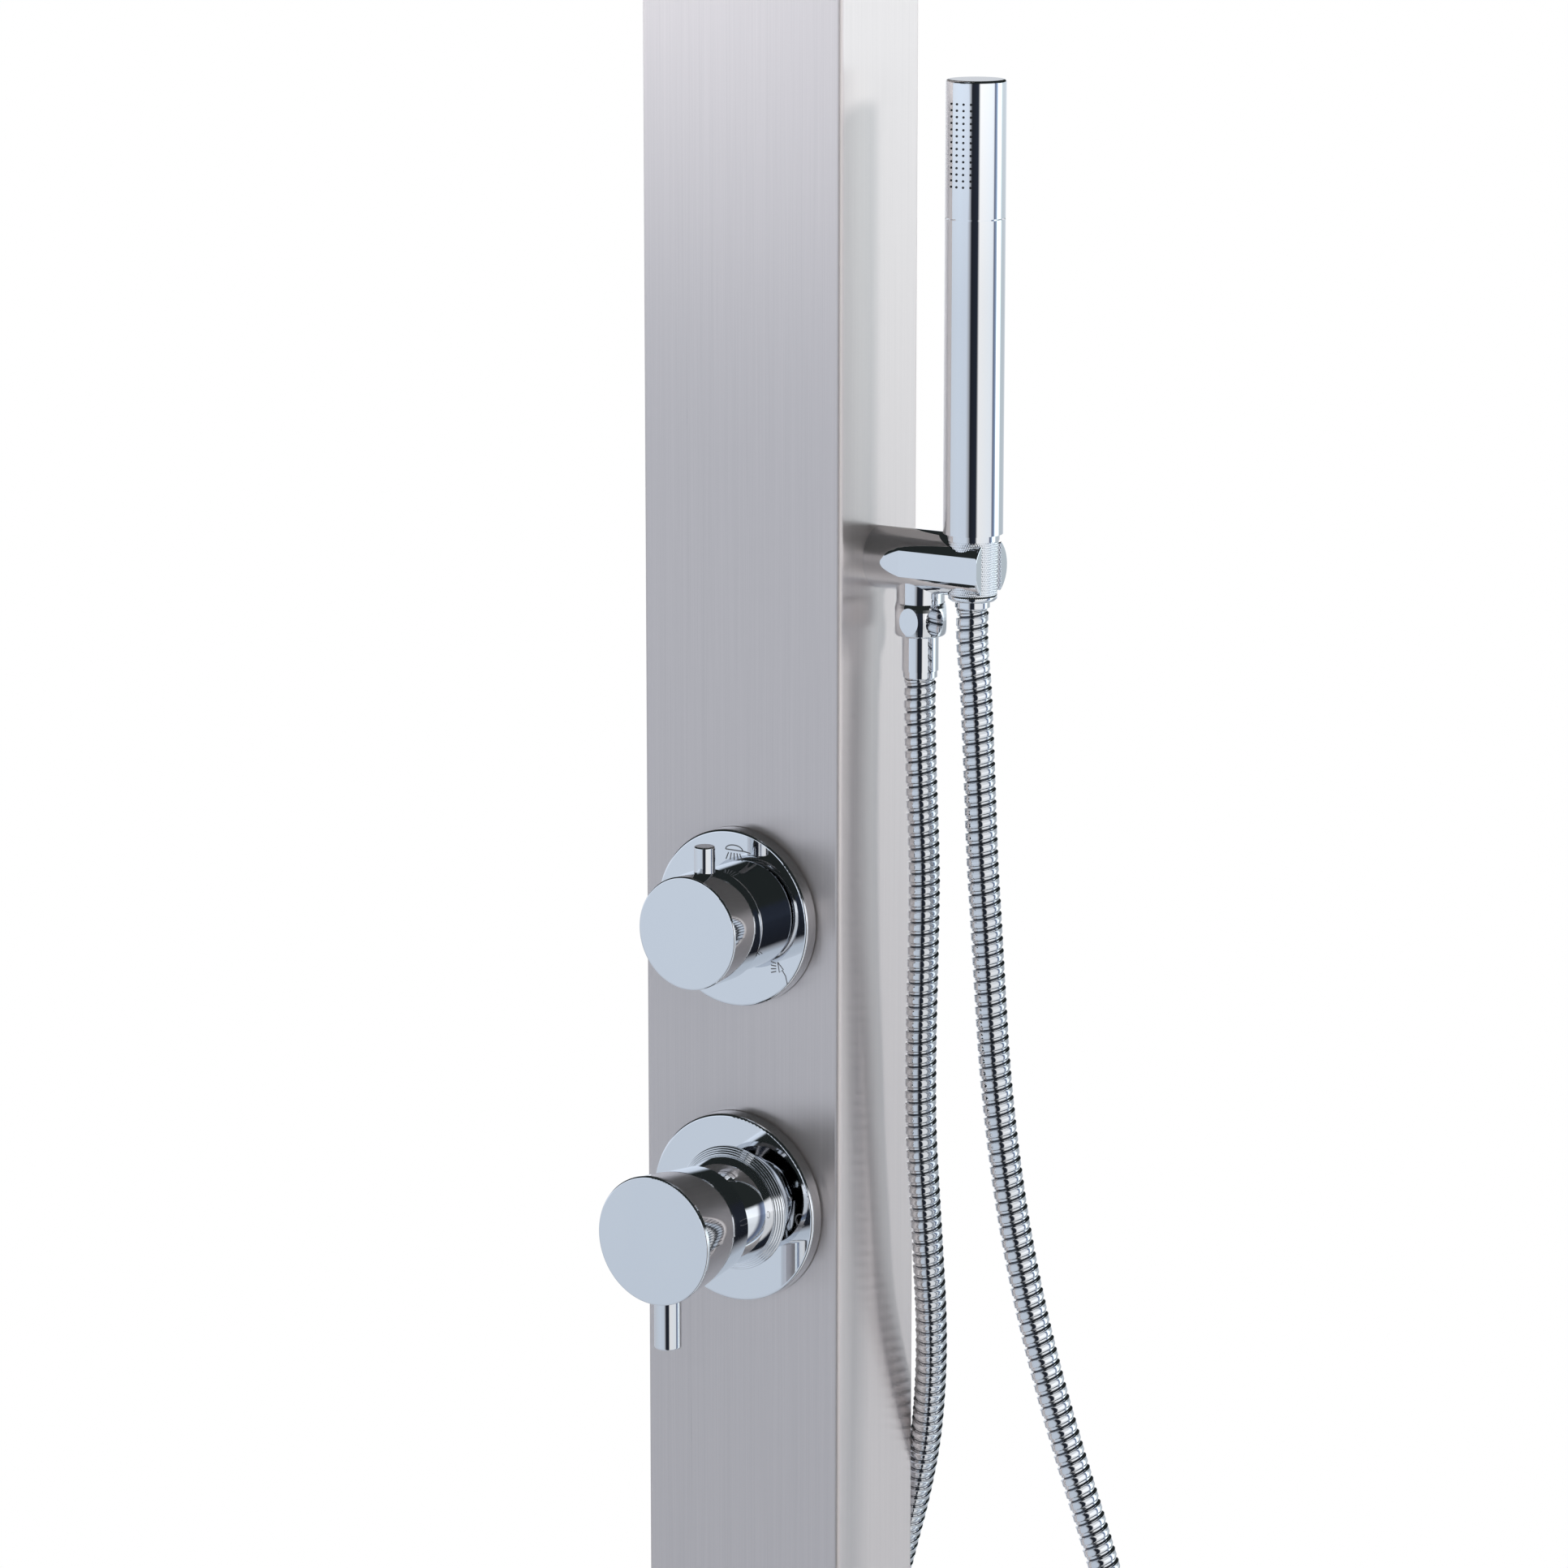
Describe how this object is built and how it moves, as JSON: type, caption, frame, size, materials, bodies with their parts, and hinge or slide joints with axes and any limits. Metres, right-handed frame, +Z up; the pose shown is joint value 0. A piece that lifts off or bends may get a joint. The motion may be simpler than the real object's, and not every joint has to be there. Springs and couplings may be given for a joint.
{
  "type": "outdoor shower",
  "caption": "Free-standing outdoor shower column with overhead shower, diverter, single-lever mixer and stick handset resting in its wall outlet.",
  "frame": {"origin": "centre of the foot plate's underside, on the ground", "axes": "+Z up along the column, -Y is the front that the controls and the overhead shower face, +X is the side that carries the handset"},
  "size_m": [0.3082, 0.582, 2.1005],
  "materials": {
    "brushed_steel": "brushed along the column",
    "chrome": "polished",
    "hose_chrome": "polished ribs",
    "brass": "turned",
    "white_plastic": "moulded",
    "blue_plastic": "moulded",
    "black_rubber": "smooth",
    "grey_silicone": "moulded"
  },
  "bodies": {
    "stand": {"column": "brushed_steel", "base_plate": "brushed_steel", "base_weld": "brushed_steel", "top_cap": "brushed_steel", "head_arm": "chrome", "arm_rosette": "chrome", "arm_locknut": "brass", "arm_elbow": "brass", "swivel_nut": "chrome", "diverter_body": "brass", "diverter_cartridge": "blue_plastic", "diverter_rosette": "chrome", "diverter_seal": "black_rubber", "diverter_sleeve": "chrome", "mixer_body": "brass", "mixer_cartridge": "blue_plastic", "cartridge_nut": "brass", "mixer_rosette": "chrome", "mixer_seal": "black_rubber", "mixer_dome": "chrome", "hot_inlet": "brass", "cold_inlet": "brass", "inlet_elbows": "brass", "hot_pipe": "brass", "cold_pipe": "brass", "mixed_pipe": "brass", "riser_pipe": "brass", "handset_pipe": "brass", "handset_holder": "chrome", "holder_locknut": "brass", "outlet_washer": "black_rubber", "outlet_nut": "chrome", "outlet_ferrule": "chrome", "hose_outlet_run": "hose_chrome", "hose_handset_run": "hose_chrome"},
    "diverter_handle": {"diverter_spindle": "brass", "diverter_knob": "chrome", "diverter_pin": "chrome"},
    "mixer_turntable": {"mixer_carrier": "blue_plastic", "carrier_pin": "brushed_steel"},
    "mixer_handle": {"mixer_stem": "brass", "mixer_knob": "chrome", "lever_pin": "chrome"},
    "swivel_seat": {"ball_seat": "white_plastic"},
    "swivel_ball": {"head_ball": "chrome"},
    "overhead_shower": {"head_shell": "chrome", "head_plate": "chrome", "head_nozzles": "grey_silicone"},
    "hose_end": {"handset_ferrule": "chrome"},
    "handset": {"handset_washer": "black_rubber", "cradle_nut": "chrome", "handset_end_ring": "chrome", "handset_grip": "chrome", "handset_head": "chrome", "handset_nozzles": "grey_silicone"}
  },
  "joints": [
    {"name": "diverter_turn", "type": "hinge", "parent": "stand", "child": "diverter_handle", "pos_m": [0, -0.032, 1.086], "axis": [0, 1, 0], "range_deg": [0, 120]},
    {"name": "mixer_turn", "type": "hinge", "parent": "stand", "child": "mixer_turntable", "pos_m": [0, -0.032, 0.951], "axis": [0, 1, 0], "range_deg": [-45, 45]},
    {"name": "mixer_lift", "type": "hinge", "parent": "mixer_turntable", "child": "mixer_handle", "pos_m": [0, -0.06, 0.951], "axis": [-1, 0, 0], "range_deg": [0, 15]},
    {"name": "head_tilt_front", "type": "hinge", "parent": "stand", "child": "swivel_seat", "pos_m": [0, -0.362, 1.959], "axis": [1, 0, 0], "range_deg": [-12, 12]},
    {"name": "head_tilt_side", "type": "hinge", "parent": "swivel_seat", "child": "swivel_ball", "pos_m": [0, -0.362, 1.959], "axis": [0, 1, 0], "range_deg": [-12, 12]},
    {"name": "head_turn", "type": "hinge", "parent": "swivel_ball", "child": "overhead_shower", "pos_m": [0, -0.362, 1.959], "axis": [0, 0, 1], "continuous": true},
    {"name": "handset_lift", "type": "slide", "parent": "stand", "child": "hose_end", "axis": [0, 0, 1], "range_m": [0, 0.08]},
    {"name": "handset_turn", "type": "hinge", "parent": "hose_end", "child": "handset", "pos_m": [0.101, 0, 1.25], "axis": [0, 0, 1], "continuous": true}
  ]
}
